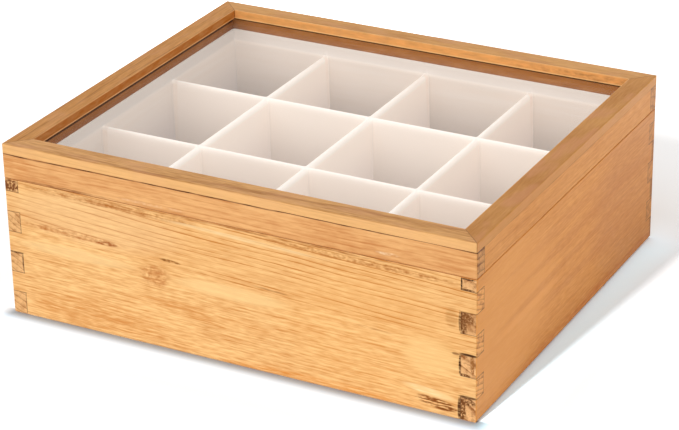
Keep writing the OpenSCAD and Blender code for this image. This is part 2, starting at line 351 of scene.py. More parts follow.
def wood(name, light, dark, along, pith, ring, seed, slope=0.0, bend=(2.0, 0.5), rings=0.7,
         zone=None, stripes=1.0, clouds=0.5, tint=None, ends=("D9A266", "85532A"), marks=(),
         lines=None):
    """Wood along an axis. pith: where its line is on the other two. slope: how far it climbs.

    rings, stripes and clouds are strengths. zone: where the rings set in, going up the board.
    """
    made = start_material(name)
    place = place_mm()
    normal = facing()
    k = AXES.index(along)
    across = [n for n in range(3) if n != k]
    run = place[k]
    a = place[across[0]] - pith[0]
    b = place[across[1]] - pith[1]
    fall = b + run * slope
    late, line, fade = growth_rings(run, a, fall, ring, bend, seed)
    stripe, fibre, mottle, cloud = strands(run, a, b, b + run * (slope * 0.35), seed)
    upper = 1.0 if zone is None else rise(fall + pith[1], zone[0], zone[1])
    ripple = (1.0 - upper * 0.55) * stripes if zone else stripes
    depth = (late * 0.16 + line * 0.75) * (0.25 + fade * 0.75) * (upper * rings)
    depth = depth + stripe * 1.5 * ripple + fibre * (ripple * 0.7 + 0.45) + cloud * clouds + 0.32
    skin = blend_colours(depth, colour(light), colour(dark))
    if tint:
        pink = noise(vector(run / 24, a / 9, b / 9), detail=1.0, shift=seed + 12.0)
        skin = blend_colours(rise(pink, -0.05, 0.2) * tint[1], skin, colour(tint[0]))
    end = rise(abs(normal[k]), 0.6, 0.9)
    skin = blend_colours(end, skin, sawn_end(a, b, late, line, ends, seed))
    for mark in marks:
        skin = mark(skin, place, end, fibre, stripe, mottle)
    if lines:
        patchy = noise(vector(run / 11, a / 3.2, b / 3.2), shift=seed + 11.0)
        skin = lines(skin, place, normal, patchy)
    height = fibre * 0.6 + stripe * 0.8 - line * 0.3
    bump = Sock.node("Bump", {"Height": height, "Strength": 0.35, "Distance": GRAIN_M})
    rough = OILED + fibre * 0.15 + cloud * 0.1
    return finish_material(made, coated(skin, rough, bump, Specular_IOR_Level=0.12))


print("wood ready")

# %% [markdown]
# ## Streaks and knots
#
# The front board has a small knot and a few dark and light streaks, and the sawn fingers have
# dark edges. They could be painted on an image. A streak here is a long soft patch of colour at a
# given place, which the board's own fibre tears up, so it sits in the grain and not on it.

# %% Streaks
def streak(at, size, shade, amount, axes=(0, 2), slope=0.0, broken=2.0, mottled=0.0,
           on_end=False):
    """A patch at `at`, `size` to its edge both ways, on the two axes named; slope tilts it."""
    def lay(skin, place, end, fibre, stripe, mottle):
        u = (place[axes[0]] - at[0])
        v = (place[axes[1]] - at[1]) - u * slope
        away = (u / size[0]) * (u / size[0]) + (v / size[1]) * (v / size[1])
        inside = (1.0 - rise(away, 0.25, 1.0)) * (end if on_end else 1.0 - end)
        torn = (fibre + stripe) * broken
        if mottled:
            torn = torn + mottle * mottled
        return blend_colours(inside * (0.75 + torn) * amount, skin, colour(shade))
    return lay


def side_streak(at, size, shade, amount, **more):
    """A streak on the face of a board that runs along Y."""
    return streak(at, size, shade, amount, axes=(1, 2), **more)


def end_streak(at, size, shade, amount=1.1, **more):
    """A streak on the sawn end of a board that runs along Y."""
    return streak(at, size, shade, amount, on_end=True, **more)


print("streaks ready")

# %% [markdown]
# ## Glue lines
#
# Where two boards meet, the glue shows as a thin, uneven dark thread: round each finger, under
# the top frame, and along the mitres. The CAD could have a groove there, but a real joint has
# none. So a thread is drawn by its distance from the joint, and noise breaks it up. Away from the
# face in question the distance is made too great for the thread to show.

# %% Threads round the fingers
GLUE_SHADE = "4A2A10"
OUT_OF_REACH = 9.0
FINGER_EDGES = [16.0, 29.8, 43.6, 57.4, 71.2, 85.0]


def thread(skin, distance, amount, patchy, width=0.28):
    """A dark line where distance is 0, torn where patchy is low."""
    share = (1.0 - rise(distance, width * 0.5, width * 1.3)) * (0.8 + patchy * 1.8)
    return blend_colours(share * amount, skin, colour(GLUE_SHADE), "MULTIPLY")


def finger_gap(z):
    gap = abs(z - FINGER_EDGES[0])
    for edge in FINGER_EDGES[1:]:
        gap = gap.least(abs(z - edge))
    return gap


def finger_lines(skin, along, across, half, half_across, normal_along, z, patchy):
    """Glue threads round the fingers: along runs with the board and across over its thickness."""
    fingers = rise(abs(along), half - BOARD - 0.35, half - BOARD - 0.15)
    skin = thread(skin, finger_gap(z) + (1.0 - fingers) * OUT_OF_REACH, 0.8, patchy)
    end = rise(abs(normal_along), 0.5, 0.9)
    inner_edge = abs(abs(across) - half_across + BOARD)
    return thread(skin, inner_edge + (1.0 - end) * OUT_OF_REACH, 0.85, patchy, 0.4)


def long_board_lines(skin, place, normal, patchy):
    x, y, z = place
    return finger_lines(skin, x, y, HALF_W, HALF_D, normal[0], z, patchy)


def short_board_lines(skin, place, normal, patchy):
    x, y, z = place
    return finger_lines(skin, y, x, HALF_D, HALF_W, normal[1], z, patchy)


print("threads at", len(FINGER_EDGES), "finger edges on each corner")

# %% [markdown]
# ## The lid's own lines
#
# On the lid a wandering glue line shows under the top frame, and the mitres meet in a fine thread.
# The walls round the window are darker, which is painted shade, with a painted shadow under the
# frame's overhang, and the frame's inner wall has a paler arris, a painted highlight. Each could be
# a small piece with a material of its own. But they belong to the surface of the rails and frame
# members, so each member's material draws them from the place and from the way the surface faces.

# %% Lines of the rails
def near_inside(x, y, depth):
    """1 on faces that look into the box, which lie at least depth from its outside."""
    from_x = HALF_W - abs(x)
    from_y = HALF_D - abs(y)
    return rise(from_x.least(from_y), depth - 0.4, depth - 0.25)


def rail_finish(inner_shade, frame_shadow_from, glue):
    """The irregular glue thread under the top frame, painted shade on the inside above the tray, and a
    painted shadow under the frame.
    """
    def lay(skin, place, normal, patchy):
        x, y, z = place
        inner = near_inside(x, y, BOARD + 0.2)
        wander = noise(vector(x / 28, y / 28, 0.0), detail=1.0, shift=61.0)
        below = z - GLUE_Z + 0.45 - x * 0.002 + wander * 1.4
        skin = thread(skin, abs(below) + inner * OUT_OF_REACH, glue, patchy, 0.42)
        # Painted shade: the inner faces take a darker tone.
        skin = blend_colours(inner * (0.8 + patchy * 0.5), skin, colour(inner_shade))
        # Painted shadow: a near black band under the top frame's overhang.
        top = inner * rise(z, frame_shadow_from, frame_shadow_from + 0.8)
        skin = blend_colours(top * 0.9, skin, colour("1C0A02"))
        lap = rise(abs(normal[0]), 0.5, 0.9) * (1.0 - inner)
        from_lap = abs(abs(y) - HALF_D + BOARD) + (1.0 - lap) * OUT_OF_REACH
        return thread(skin, from_lap, 0.6, patchy)
    return lay


print("glue line of the lid at %.1f mm" % GLUE_Z)


# %% Lines of the top frame
FRAME_DEPTH = 14.0


def frame_finish(upright_light_tone, upright_light_share, inner_shade, inner_share=0.6):
    """Painted light on the upright faces, the inner wall's own tone with painted highlights at its top
    and foot, and the mitres.
    """
    def lay(skin, place, normal, patchy):
        x, y, z = place
        upright = 1.0 - rise(abs(normal[2]), 0.35, 0.75)
        inner = near_inside(x, y, FRAME_DEPTH)
        # Painted light: the upright faces get a paler tone than the top, for the light that falls on
        # them.
        skin = blend_colours(upright * upright_light_share, skin, colour(upright_light_tone))
        skin = blend_colours(inner * (inner_share + patchy * 1.8), skin, colour(inner_shade))
        # Painted highlights: light lines along the inner wall's top arris and along its foot.
        arris_highlight = inner * rise(z, LID_TOP - 0.8, LID_TOP - 0.3) * (0.5 + patchy)
        skin = blend_colours(arris_highlight, skin, colour("EDBB7C"))
        foot_highlight = inner * (1.0 - rise(abs(z - GLUE_Z - 0.45), 0.2, 0.6)) * (0.6 + patchy)
        skin = blend_colours(foot_highlight, skin, colour("F2C083"))
        mitre = abs((HALF_W - abs(x)) - (HALF_D - abs(y))) * 0.707
        return thread(skin, mitre, 0.6, patchy, 0.22)
    return lay


print("top frame from %.1f to %.1f mm" % (GLUE_Z, LID_TOP))

# %% [markdown]
# ## Marks of this box
#
# These are the streaks that make it this box and no other: the front board's light and dark
# strands with the knot at its left, the smoky edges of the sawn fingers at the right corner, and
# the long soft bands of the right side. They could be left to chance, but then no board would
# have a face of its own. Each line gives a place, a size, a tone and a strength.
# The dark band along the right side's back edge is painted shade.

# %% Marks of the front board
front_marks = [
    # Two broad soft patches: lighter at the front board's upper left, deeper in tone at its lower
    # right.
    streak((-95, 76), (75, 20), "FFE2B4", 0.2, broken=0.5),
    streak((95, 42), (75, 48), "EFA957", 0.2, broken=0.5),
    streak((-85, 89.8), (78, 3.0), "B06C2E", 0.55, slope=-0.012, mottled=2.0),
    streak((85, 89.0), (80, 2.6), "B8763A", 0.6, slope=-0.014, mottled=3.0),
    streak((10, 86.6), (70, 1.6), "FFE2AC", 0.5, slope=-0.03),
    streak((20, 92.2), (140, 0.9), "A5642C", 0.6),
    streak((-112, 64.5), (44, 3.0), "BC7438", 0.55, slope=-0.02, mottled=2.5),
    streak((-88, 63.6), (10, 1.8), "A55F2C", 0.7, mottled=4.0),
    streak((-43, 61.2), (9, 1.2), "96602A", 0.8, slope=-0.05, mottled=3.0),
    streak((26, 57), (14, 0.7), "94602C", 0.5, slope=-0.06),
    streak((96, 47), (16, 1.1), "A8662C", 0.4, slope=-0.05),
    streak((-54, 49), (13, 8.5), "C27C40", 0.6, broken=1.0, mottled=3.0),
    streak((-110, 51), (50, 5), "FFE0A4", 0.4, broken=1.5),
    streak((-2, 49), (46, 6), "FFDC9C", 0.5, broken=1.5),
    streak((131, 38), (22, 14), "FFD692", 0.5, broken=1.0),
    streak((-100, 12), (60, 14), "D68F48", 0.45),
    streak((60, 2), (80, 5), "E08E3C", 0.5),
    streak((-20, 30), (60, 6), "D68F48", 0.4, slope=-0.03),
    streak((60, 38), (40, 3), "D68F48", 0.35, slope=-0.03),
    streak((130, 14.5), (20, 3), "FFE2A8", 0.7, slope=-0.1, broken=2.0),
    streak((135, 8), (16, 4.0), "8A4E1C", 0.75, slope=-0.12, broken=5.0, mottled=3.0),
    streak((144.5, 66), (5, 8), "B57A3C", 0.5, broken=1.0),
    streak((147, 43.4), (3, 1.1), "6B3F18", 0.8, broken=1.0),
    streak((149.6, 37), (0.9, 8), "4A2A10", 1.2, broken=1.0),
    streak((149.4, 8), (1.4, 9), "5A3416", 1.2, broken=1.0),
    streak((149.4, 65), (0.9, 8), "6B4420", 1.0, broken=1.0),
    streak((155, 44.3), (7, 0.8), "4A2A10", 1.2, broken=1.0),
    streak((155, 16.6), (7, 1.0), "5A3416", 1.2, broken=1.0),
]
print("front board:", len(front_marks), "marks")

# %% Marks of the side boards
right_marks = [
    end_streak((153.0, 68.0), (7.0, 4.5), "6E3F1A", slope=-0.3, broken=1.5),
    end_streak((151.5, 62.0), (2.8, 7.0), "5E3413", slope=-0.3, broken=1.5),
    end_streak((155.0, 64.0), (8.0, 9.0), "9A5C26", 0.4, broken=1.0),
    end_streak((157.5, 38.0), (1.6, 8.0), "9A6230", slope=-1.2, broken=1.5),
    end_streak((152.0, 30.3), (6.0, 1.6), "6E3F1A", broken=1.5),
    end_streak((154.0, 13.5), (7.0, 3.0), "6E3F1A", mottled=3.0),
    end_streak((151.5, 6.0), (2.4, 8.0), "7A4A22", mottled=3.0),
    end_streak((150.4, 89.0), (0.8, 4.5), "3A1E0A", broken=1.0),
    end_streak((154.0, 85.7), (6.0, 0.8), "5A3416", broken=1.0),
    end_streak((154.5, 92.4), (6.0, 0.7), "3A1E0A", broken=1.0),
    side_streak((60, 2.0), (200, 7.0), "C8681E", 0.5),
    # Two broad soft patches: the right side lighter towards the front, darker towards the back.
    side_streak((-100, 50), (90, 56), "F2A85C", 0.6, broken=0.6),
    side_streak((110, 50), (90, 70), "BE7A46", 0.5, broken=0.6),
    side_streak((-10, 76), (110, 4.0), "CC8244", 0.3, slope=0.01, broken=0.8),
    side_streak((20, 62), (120, 4.2), "C4783A", 0.36, slope=0.01, broken=0.8),
    side_streak((0, 48), (130, 4.0), "C4783A", 0.32, slope=0.02, broken=0.8),
    side_streak((30, 34), (100, 4.4), "C4783A", 0.36, slope=0.02, broken=0.8),
    side_streak((-60, 41), (60, 3.0), "F2A860", 0.4, slope=0.01, broken=0.8),
    # Painted shade: a dark band along the right side's back edge.
    side_streak((137.5, 45), (6, 60), "6E421E", 0.7, broken=0.8),
]
left_marks = [
    end_streak((-155, 89.0), (7.0, 5.0), "7A4620", mottled=4.0),
    end_streak((-150.4, 37.0), (0.8, 7.0), "5A3416", 0.9, broken=1.0),
    end_streak((-155, 43.2), (7.0, 0.7), "5A3416", 0.9, broken=1.0),
]
print("side boards:", len(right_marks), "and", len(left_marks), "marks")

# %% [markdown]
# ## The box's boards
#
# Four boards are joined by fingers at the corners, with a thin panel in a groove as the bottom.
# One wood could serve them all, but then the same grain would turn up on each side and look
# printed. So every board has a seed, a pith and tones of its own. Front and back boards run along
# X and side boards along Y, as they were sawn.

# %% Dress the box
def dress(node, material):
    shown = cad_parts[node]
    for place in shown.material_slots:
        place.link = "OBJECT"
        place.material = material


dress("front_board", wood("front_board_wood", "FBCA88", "C98038", "X", (-70.0, 280.0), 3.3, 3.0,
                          slope=0.044, bend=(2.2, 0.4), rings=0.9, zone=(52, 60),
                          marks=front_marks, lines=long_board_lines, ends=("F2AC60", "A8642C")))
dress("back_board", wood("back_board_wood", "F2BC74", "C67F3C", "X", (60.0, 190.0), 5.0, 7.0,
                         lines=long_board_lines, ends=("D08C4A", "A86A34")))
dress("left_board", wood("left_board_wood", "E9AE6A", "BC7838", "Y", (-60.0, 200.0), 4.0, 11.0,
                         lines=short_board_lines, marks=left_marks, ends=("EAB67A", "AE7440")))
dress("right_board", wood("right_board_wood", "E69E51", "C47631", "Y", (60.0, -160.0), 9.0, 17.0,
                          rings=0.12, stripes=0.5, clouds=0.4, lines=short_board_lines,
                          marks=right_marks, ends=("F2BC80", "96592A")))
dress("bottom_panel", wood("bottom_panel_wood", "EBC492", "CFA06A", "X", (0.0, -90.0), 5.0, 23.0))
print("box dressed, boards %.0f mm thick" % BOARD)

# %% [markdown]
# ## The lid's rails and top frame
#
# The lid is a skirt of four rails with a mitred frame glued on top, from browner wood than the
# box. The rails' inner walls show above the tray through the window; their darker tone is painted
# shade, with a painted shadow band under the frame. The frame's top faces lie in a flatter light
# and are a little pink here and there, which the `tint` lays over the wood, and its upright faces
# carry painted light, paler than the top.

# %% Dress the lid's rails
lid_front_marks = [
    streak((-54, 96.2), (28, 1.1), "EEC294", 0.36, mottled=5.0),
    streak((104, 97.6), (9, 1.3), "F2CDA0", 0.42, mottled=5.0),
    streak((-110, 94.2), (46, 1.0), "7E4620", 0.7),
    streak((-152, 102), (14, 9), "D08A4C", 0.5),
]
dress("lid_front_rail", wood("lid_front_wood", "ECB375", "C1793F", "X", (-120.0, 260.0), 4.0, 29.0,
                             rings=0.35, stripes=0.6, clouds=0.9, marks=lid_front_marks,
                             lines=rail_finish("AB7242", 105.2, 0.95), ends=("D69858", "80491F")))
dress("lid_back_rail", wood("lid_back_wood", "E5A868", "C07C42", "X", (120.0, 70.0), 6.0, 31.0,
                            lines=rail_finish("995F30", 105.2, 0.6), ends=("CC8C4E", "A0662E")))
dress("lid_left_rail", wood("lid_left_wood", "D99A5C", "B07036", "Y", (-90.0, 70.0), 6.0, 37.0,
                            lines=rail_finish("965F36", 103.4, 0.6)))
dress("lid_right_rail", wood("lid_right_wood", "E49D51", "C47934", "Y", (110.0, 170.0), 6.0, 41.0,
                             rings=0.35, stripes=0.5, lines=rail_finish("AB7242", 105.2, 0.3)))
print("rails dressed, %.1f mm high" % (GLUE_Z - LID_BOTTOM))

# %% Dress the top frame
back_frame_marks = [streak((125, 112.6), (75, 3.3), "7A4A1C", 0.9, mottled=3.0)]
dress("top_frame_front", wood("frame_front_wood", "D9A263", "A87139", "X", (-160.0, 260.0), 3.5,
                              43.0, slope=0.01, stripes=0.9, tint=("C88E68", 0.3),
                              lines=frame_finish("FFC886", 0.55, "AB7242")))
dress("top_frame_back", wood("frame_back_wood", "D59E5D", "AD7437", "X", (120.0, 260.0), 4.0,
                             47.0, rings=0.4, stripes=0.45, tint=("C88E68", 0.3),
                             marks=back_frame_marks, lines=frame_finish("DBA165", 0.3, "F2AA62")))
dress("top_frame_left", wood("frame_left_wood", "CC8F4B", "A06628", "Y", (-60.0, 260.0), 4.0,
                             53.0, stripes=0.6, tint=("C88E68", 0.2),
                             lines=frame_finish("DBA165", 0.3, "B4661A", 0.8)))
dress("top_frame_right", wood("frame_right_wood", "C58B49", "A36528", "Y", (90.0, 260.0), 4.0,
                              59.0, rings=0.12, stripes=0.35, clouds=1.2, tint=("C7875D", 0.5),
                              lines=frame_finish("DE9850", 0.6, "B07440")))
woods = [name for name in bpy.data.materials.keys() if name.endswith("_wood")]
print("woods:", len(woods))

# %% [markdown]
# ## The moulded tray: its plan
#
# The tray is one thin plastic moulding: four by three cells with walls that lean out by the draft
# a mould needs, soft tops to the dividers and a raised rim round them all. The CAD tray has sharp
# edges. A bevel could soften it, but on so many thin walls bevels run into each other. So the
# tray is made again from its rule: a grid of cells, each of which is a stack of rounded loops.
# This first step lays out the grid from the tray's own box.

# %% Sizes of the tray
COLUMNS = 4
ROWS = 3
WALL = 1.2
STEP = 0.4
DIVIDER = 4.0
TRIM = 2.5
DRAFT = math.tan(math.radians(2))
RIM_Z = tray_high.z
FLOOR_Z = tray_low.z
TOP_Z = 91.5

tray_half_x = tray_high.x
tray_half_y = tray_high.y
cell_half_x = tray_half_x - WALL - STEP
cell_half_y = tray_half_y - WALL - STEP
pitch_x = (2 * cell_half_x + DIVIDER + 2 * TRIM) / COLUMNS
pitch_y = (2 * cell_half_y + DIVIDER + 2 * TRIM) / ROWS


def grid_edges(count, half, pitch):
    """For each cell: its low and high edge, and whether each is next to a board."""
    out = []
    for n in range(count):
        low = -half if n == 0 else (n - count / 2) * pitch + DIVIDER / 2
        high = half if n == count - 1 else (n + 1 - count / 2) * pitch - DIVIDER / 2
        out.append((low, high, n == 0, n == count - 1))
    return out


columns = grid_edges(COLUMNS, cell_half_x, pitch_x)
rows = grid_edges(ROWS, cell_half_y, pitch_y)
print("cells %.1f mm apart across and %.1f mm deep" % (pitch_x, pitch_y))

# %% [markdown]
# ## The moulded tray: a loop
#
# Seen from above, a cell is a square with rounded corners. Its topmost loop is the exception: it
# lies on the middle of the dividers, where four cells meet, so there its corners have to be square
# to leave no hole. Every loop has the same number of points in the same order, so that any two
# can be joined by plain quads.

# %% One loop round a cell
SIDE_POINTS = 10
CORNER_POINTS = 6
CORNER_R = 1.6
QUARTER = CORNER_POINTS + SIDE_POINTS
PER_LOOP = 4 * QUARTER


def loop(cell, share, inset, radius, under=False, square=False):
    """Points of one loop round a cell. share runs from the cell's edge, 0, to where it ends, 1."""
    (x0, x1, w, e), (y0, y1, s, n) = cell
    start = WALL if under else 0.0

    def outward(outer):
        if inset:
            return start - inset
        reach = (STEP + start) if outer else DIVIDER / 2
        return start + (reach - start) * share

    box = [x0 - outward(w), x1 + outward(e), y0 - outward(s), y1 + outward(n)]
    corners = [(box[1], box[2], -90, e and s), (box[1], box[3], 0, e and n),
               (box[0], box[3], 90, w and n), (box[0], box[2], 180, w and s)]
    points = []
    for k, (cx, cy, turned, round_outer) in enumerate(corners):
        sx = 1 if cx == box[1] else -1
        sy = 1 if cy == box[3] else -1
        for m in range(CORNER_POINTS + 1):
            f = m / CORNER_POINTS
            if square and not round_outer:
                first = radius * max(0.0, 1 - 2 * f)
                second = radius * max(0.0, 2 * f - 1)
                back_x, back_y = (first, second) if k % 2 == 0 else (second, first)
                points.append((cx - sx * back_x, cy - sy * back_y))
            else:
                angle = math.radians(turned + 90 * f)
                points.append((cx - sx * radius + radius * math.cos(angle),
                               cy - sy * radius + radius * math.sin(angle)))
        nx, ny = corners[(k + 1) % 4][:2]
        last = points[-1]
        nsx = 1 if nx == box[1] else -1
        nsy = 1 if ny == box[3] else -1
        goal = (nx, ny - nsy * radius) if k % 2 == 0 else (nx - nsx * radius, ny)
        for m in range(1, SIDE_POINTS):
            f = m / SIDE_POINTS
            points.append((last[0] + (goal[0] - last[0]) * f, last[1] + (goal[1] - last[1]) * f))
    return points


print("a loop has", len(loop((columns[0], rows[0]), 0.0, 0.0, CORNER_R)), "points")

# %% [markdown]
# ## The moulded tray: from divider to floor
#
# Down one wall the moulding rolls over the divider, runs down the drafted wall and turns into the
# floor in a small curve. The same stack of heights, moved out by the wall, makes the underside.
# A Solidify modifier could give the wall, but it pinches where a divider is narrower than two
# walls. Two stacks by the same rule stay clear of each other everywhere.

# %% Profile of a skin
ROLL = 3.2
ROLL_LESS_UNDER = 1.2
FOOT_HIGH = 2.6
FOOT_WIDE = 2.4
WALL_HEIGHTS = (78.0, 55.0, 32.0)


def skin_profile(under):
    """Loops of one skin, from the divider's middle to the floor: (share, inset, z, radius)."""
    down = WALL if under else 0.0
    top = TOP_Z - down
    floor = FLOOR_Z if under else FLOOR_Z + WALL
    roll = ROLL - (ROLL_LESS_UNDER if under else 0.0)
    radius = CORNER_R + down
    levels = []
    for angle in (0, 18, 36, 54, 72, 90):
        a = math.radians(angle)
        levels.append((1 - math.sin(a), 0.0, top - roll * (1 - math.cos(a)), radius))
    lip = levels[-1][2]
    for z in (*WALL_HEIGHTS, floor + FOOT_HIGH):
        levels.append((0.0, (lip - z) * DRAFT, z, radius))
    leant = (lip - floor - FOOT_HIGH) * DRAFT
    for angle in (25, 50, 70, 90):
        a = math.radians(angle)
        levels.append((0.0, leant + FOOT_WIDE * (1 - math.cos(a)),
                       floor + FOOT_HIGH * (1 - math.sin(a)), radius))
    return levels


print("a skin has", len(skin_profile(False)), "loops from", TOP_Z, "to", FLOOR_Z + WALL, "mm")

# %% [markdown]
# ## The moulded tray: skins and rim
#
# An upper and an under skin are not a solid yet. Round the outside of the tray a strip climbs
# from the upper skin, rolls over the rim and comes down to the under skin, and that closes the
# shell. It is built along the same points as the loops, so the merge leaves no seam.

# %% Skins and rim of a cell
RIM_OVER = [(0.0, TOP_Z), (0.0, RIM_Z - 2.0), (0.0, RIM_Z - 0.5), (0.15, RIM_Z - 0.12),
            (0.5, RIM_Z), (0.85, RIM_Z - 0.12), (1.0, RIM_Z - 0.5), (1.0, TOP_Z - WALL)]


def add_skin(mesh, cell, under):
    """One skin of a cell. Gives back the plan of its topmost loop."""
    rings = []
    for n, (share, inset, z, radius) in enumerate(skin_profile(under)):
        plan = loop(cell, share, inset, radius, under, square=n == 0)
        rings.append([mesh.verts.new((x * MM, y * MM, z * MM)) for x, y in plan])
        if n == 0:
            border = plan
    for first, second in zip(rings, rings[1:]):
        for m in range(PER_LOOP):
            after = (m + 1) % PER_LOOP
            quad = [first[m], first[after], second[after], second[m]]
            mesh.faces.new(quad[::-1] if under else quad)
    mesh.faces.new(rings[-1][::-1] if under else rings[-1])
    return border


def on_long_rim(first, second):
    """True for a step of a border that runs along one of the tray's four sides."""
    side_x = min(abs(first[0]), abs(second[0])) > cell_half_x + STEP / 2
    side_y = min(abs(first[1]), abs(second[1])) > cell_half_y + STEP / 2
    return side_x or side_y


def add_rim(mesh, cell, upper, lower):
    """The strip over the rim, from the upper border to the lower, where the cell is outermost."""
    (_, _, w, e), (_, _, s, n) = cell
    outer_corners = (e and s, e and n, w and n, w and s)
    for m in range(PER_LOOP):
        pair = (m, (m + 1) % PER_LOOP)
        corner, along = divmod(m, QUARTER)
        turning = along < CORNER_POINTS and outer_corners[corner]
        if not (turning or on_long_rim(upper[pair[0]], upper[pair[1]])):
            continue
        strip = []
        for share, z in RIM_OVER:
            strip.append([mesh.verts.new((
                (upper[p][0] + (lower[p][0] - upper[p][0]) * share) * MM,
                (upper[p][1] + (lower[p][1] - upper[p][1]) * share) * MM,
                z * MM)) for p in pair])
        for first, second in zip(strip, strip[1:]):
            mesh.faces.new([first[0], second[0], second[1], first[1]])


print("rim at %.1f mm" % RIM_Z)

# %% [markdown]
# ## The moulded tray: one closed shell
#
# All cells are now made and merged. The doubles go first and the normals are put right after
# them, because a skin's loose pieces can't know which way is out. Quads are smoothed for the soft
# look of a moulding, and the large flat floors stay flat.

# %% Build the tray
MERGE_M = 2e-6


def put(name, data):
    """A new object in the scene, at the origin."""
    made = bpy.data.objects.new(name, data)
    bpy.context.scene.collection.objects.link(made)
    return made


def build_tray():
    mesh = bmesh.new()
    for column in columns:
        for row in rows:
            cell = (column, row)
            upper = add_skin(mesh, cell, False)
            lower = add_skin(mesh, cell, True)
            add_rim(mesh, cell, upper, lower)
    bmesh.ops.remove_doubles(mesh, verts=mesh.verts, dist=MERGE_M)
    bmesh.ops.recalc_face_normals(mesh, faces=mesh.faces)
    for face in mesh.faces:
        face.smooth = len(face.verts) <= 4
    made = bpy.data.meshes.new("tray_moulding")
    mesh.to_mesh(made)
    open_edges = sum(not edge.is_manifold for edge in mesh.edges)
    print("tray:", len(mesh.faces), "faces,", open_edges, "open edges")
    mesh.free()
    return put("tray_moulding", made)


tray = build_tray()
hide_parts("divider_tray")
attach(tray, "base")

# %% [markdown]
# ## The tray's plastic
#
# The milky plastic lets some light through, so its cells are bright at the top, duller towards
# the floor, and never black. Subsurface scattering would show that, but it is slow and noisy in
# walls so narrow. A Principled shader comes close: a faint painted glow stands in for the light
# through it, shadows pass through it in part, painted shade greys the walls towards the floor, the
# rear walls, the left wall and the rim, and a painted highlight lightens the dividers' tops.

# %% Material of the tray
def tray_tones(x, y, z, normal, edge):
    """The tray's colour and painted glow: creamy at the edge, painted shade down the walls, a painted
    highlight on the dividers.
    """
    below = 1.0 - rise(z, TOP_Z - 4.0, TOP_Z + 1.0)
    grain = noise(vector(x / 60, y / 60, z / 3.0), detail=2.0, shift=3.3)
    show = edge * below * (0.6 + grain * 1.4)
    cloudy = noise(vector(x / 30, y / 30, z / 30), detail=1.0, shift=5.0)
    skin = blend_colours(show * 0.6, colour("ECDFD4"), colour("E2CAB4"))
    skin = blend_colours(0.12 + cloudy * 0.2, skin, colour("EADCD5"))
    low_in_cell = 1.0 - rise(z, 36.0, 92.0)
    across = rise(abs(normal[1]), 0.4, 0.9)
    to_right = rise(normal[0], 0.4, 0.9)
    rear = rise(y, 45.0, 90.0)
    left_wall_shade = rise(0.0 - x, tray_half_x - 8.0, tray_half_x - 6.0) * to_right
    rim = rise(z, TOP_Z - 1.5, TOP_Z + 1.0)
    above = rise(z, TOP_Z - 3.0, TOP_Z)
    # Painted shade: walls across the tray, the rear walls, the left wall and the rim are greyed, more
    # so towards the floor.
    tone = across * (0.14 + low_in_cell * 0.24 + rear * (0.18 + low_in_cell * 0.1) * (1.0 - above * 0.8))
    tone = tone + left_wall_shade * (0.38 + low_in_cell * 0.3) + rim * edge * 0.2 + low_in_cell * 0.14
    skin = blend_colours(tone, skin, colour("8C8482"))
    # Painted shade: a lavender tint low on the walls that face right.
    skin = blend_colours(to_right * low_in_cell * 0.4, skin, colour("C6BCC4"))
    # Painted highlight on the dividers' tops.
    crown = rise(z, TOP_Z - 6.0, TOP_Z - 1.0) * (1.0 - edge)
    sideways = to_right * rise(z, TOP_Z - 4.5, TOP_Z - 2.5)
    top_highlight = crown * (0.25 + rise(normal[2], 0.5, 0.95) * 0.3 + sideways * 0.5)
    skin = blend_colours(top_highlight, skin, colour("FBF4EE"))
    # A painted glow, stronger low in the cells, stands in for light through the plastic.
    painted_glow = blend_colours(low_in_cell * 0.5 + across * 0.3, (0.22, 0.205, 0.19, 1.0), (0.09, 0.085, 0.08, 1.0))
    return skin, painted_glow


def tray_plastic():
    made = start_material("tray_milk_plastic")
    x, y, z = place_mm()
    edge = rise(abs(x), tray_half_x - 6.5, tray_half_x - 5.0).most(
        rise(abs(y), tray_half_y - 6.5, tray_half_y - 5.0))
    skin, painted_glow = tray_tones(x, y, z, facing(), edge)
    fine = noise(vector(x, y, z), scale=2.2, detail=1.0)
    bump = Sock.node("Bump", {"Height": fine, "Strength": 0.08, "Distance": 0.0002})
    # The emission is the painted glow; the tray is no lamp.
    milk = coated(skin, 0.42 + fine * 0.1, bump, Specular_IOR_Level=0.4, Emission_Color=painted_glow,
                  Emission_Strength=1.0)
    pale = Sock.node("BsdfTransparent", {"Color": (0.88, 0.86, 0.84, 1.0)})
    return finish_material(made, mix_shaders(ray_is("Shadow"), milk, pale))


tray.data.materials.append(tray_plastic())
print("tray plastic ready")

# %% [markdown]
# ## The window pane
#
# The window is one clear, flat pane. A glass shader alone would do, but then lamp light would
# have to find its way through by chance, and the tray would be dark and grainy. So the pane bends
# only the rays that show what lies behind it, with a weak mirror image over it, and lets all other
# light straight through. A trace of haze keeps it from looking empty.

# %% Material of the pane
PANE_IOR = 1.49


def clear_pane():
    made = start_material("clear_pane_glass")
    x, y, z = place_mm()
    smear = noise(vector(x / 70, y / 70, z / 70), detail=2.0)
    through = Sock.node("BsdfRefraction",
                        {"Color": (0.99, 0.995, 0.99, 1.0), "Roughness": 0.0, "IOR": PANE_IOR})
    mirrored = Sock.node("BsdfGlossy", {"Color": grey(1.0), "Roughness": 0.02})
    bent = mix_shaders(Sock.node("Fresnel", {"IOR": PANE_IOR}) * 0.12, through, mirrored)
    straight = Sock.node("BsdfTransparent", {"Color": grey(1.0)})
    clear = mix_shaders(ray_is("Camera", "Transmission"), straight, bent)
    haze = Sock.node("BsdfDiffuse", {"Color": (0.93, 0.93, 0.94, 1.0)})
    return finish_material(made, mix_shaders(0.004 + smear * 0.004, clear, haze))


dress("window_pane", clear_pane())
print("pane ready")

# %% [markdown]
# ## The brass of the hinges
#
# Two small brass butt hinges carry the lid. Brass could be one flat metal colour, but handled
# brass is brighter here and duller there. So noise wears both its colour and its shine. Leaves,
# pins and screws are stamped, drawn and turned from different stock, so each has its own seed.

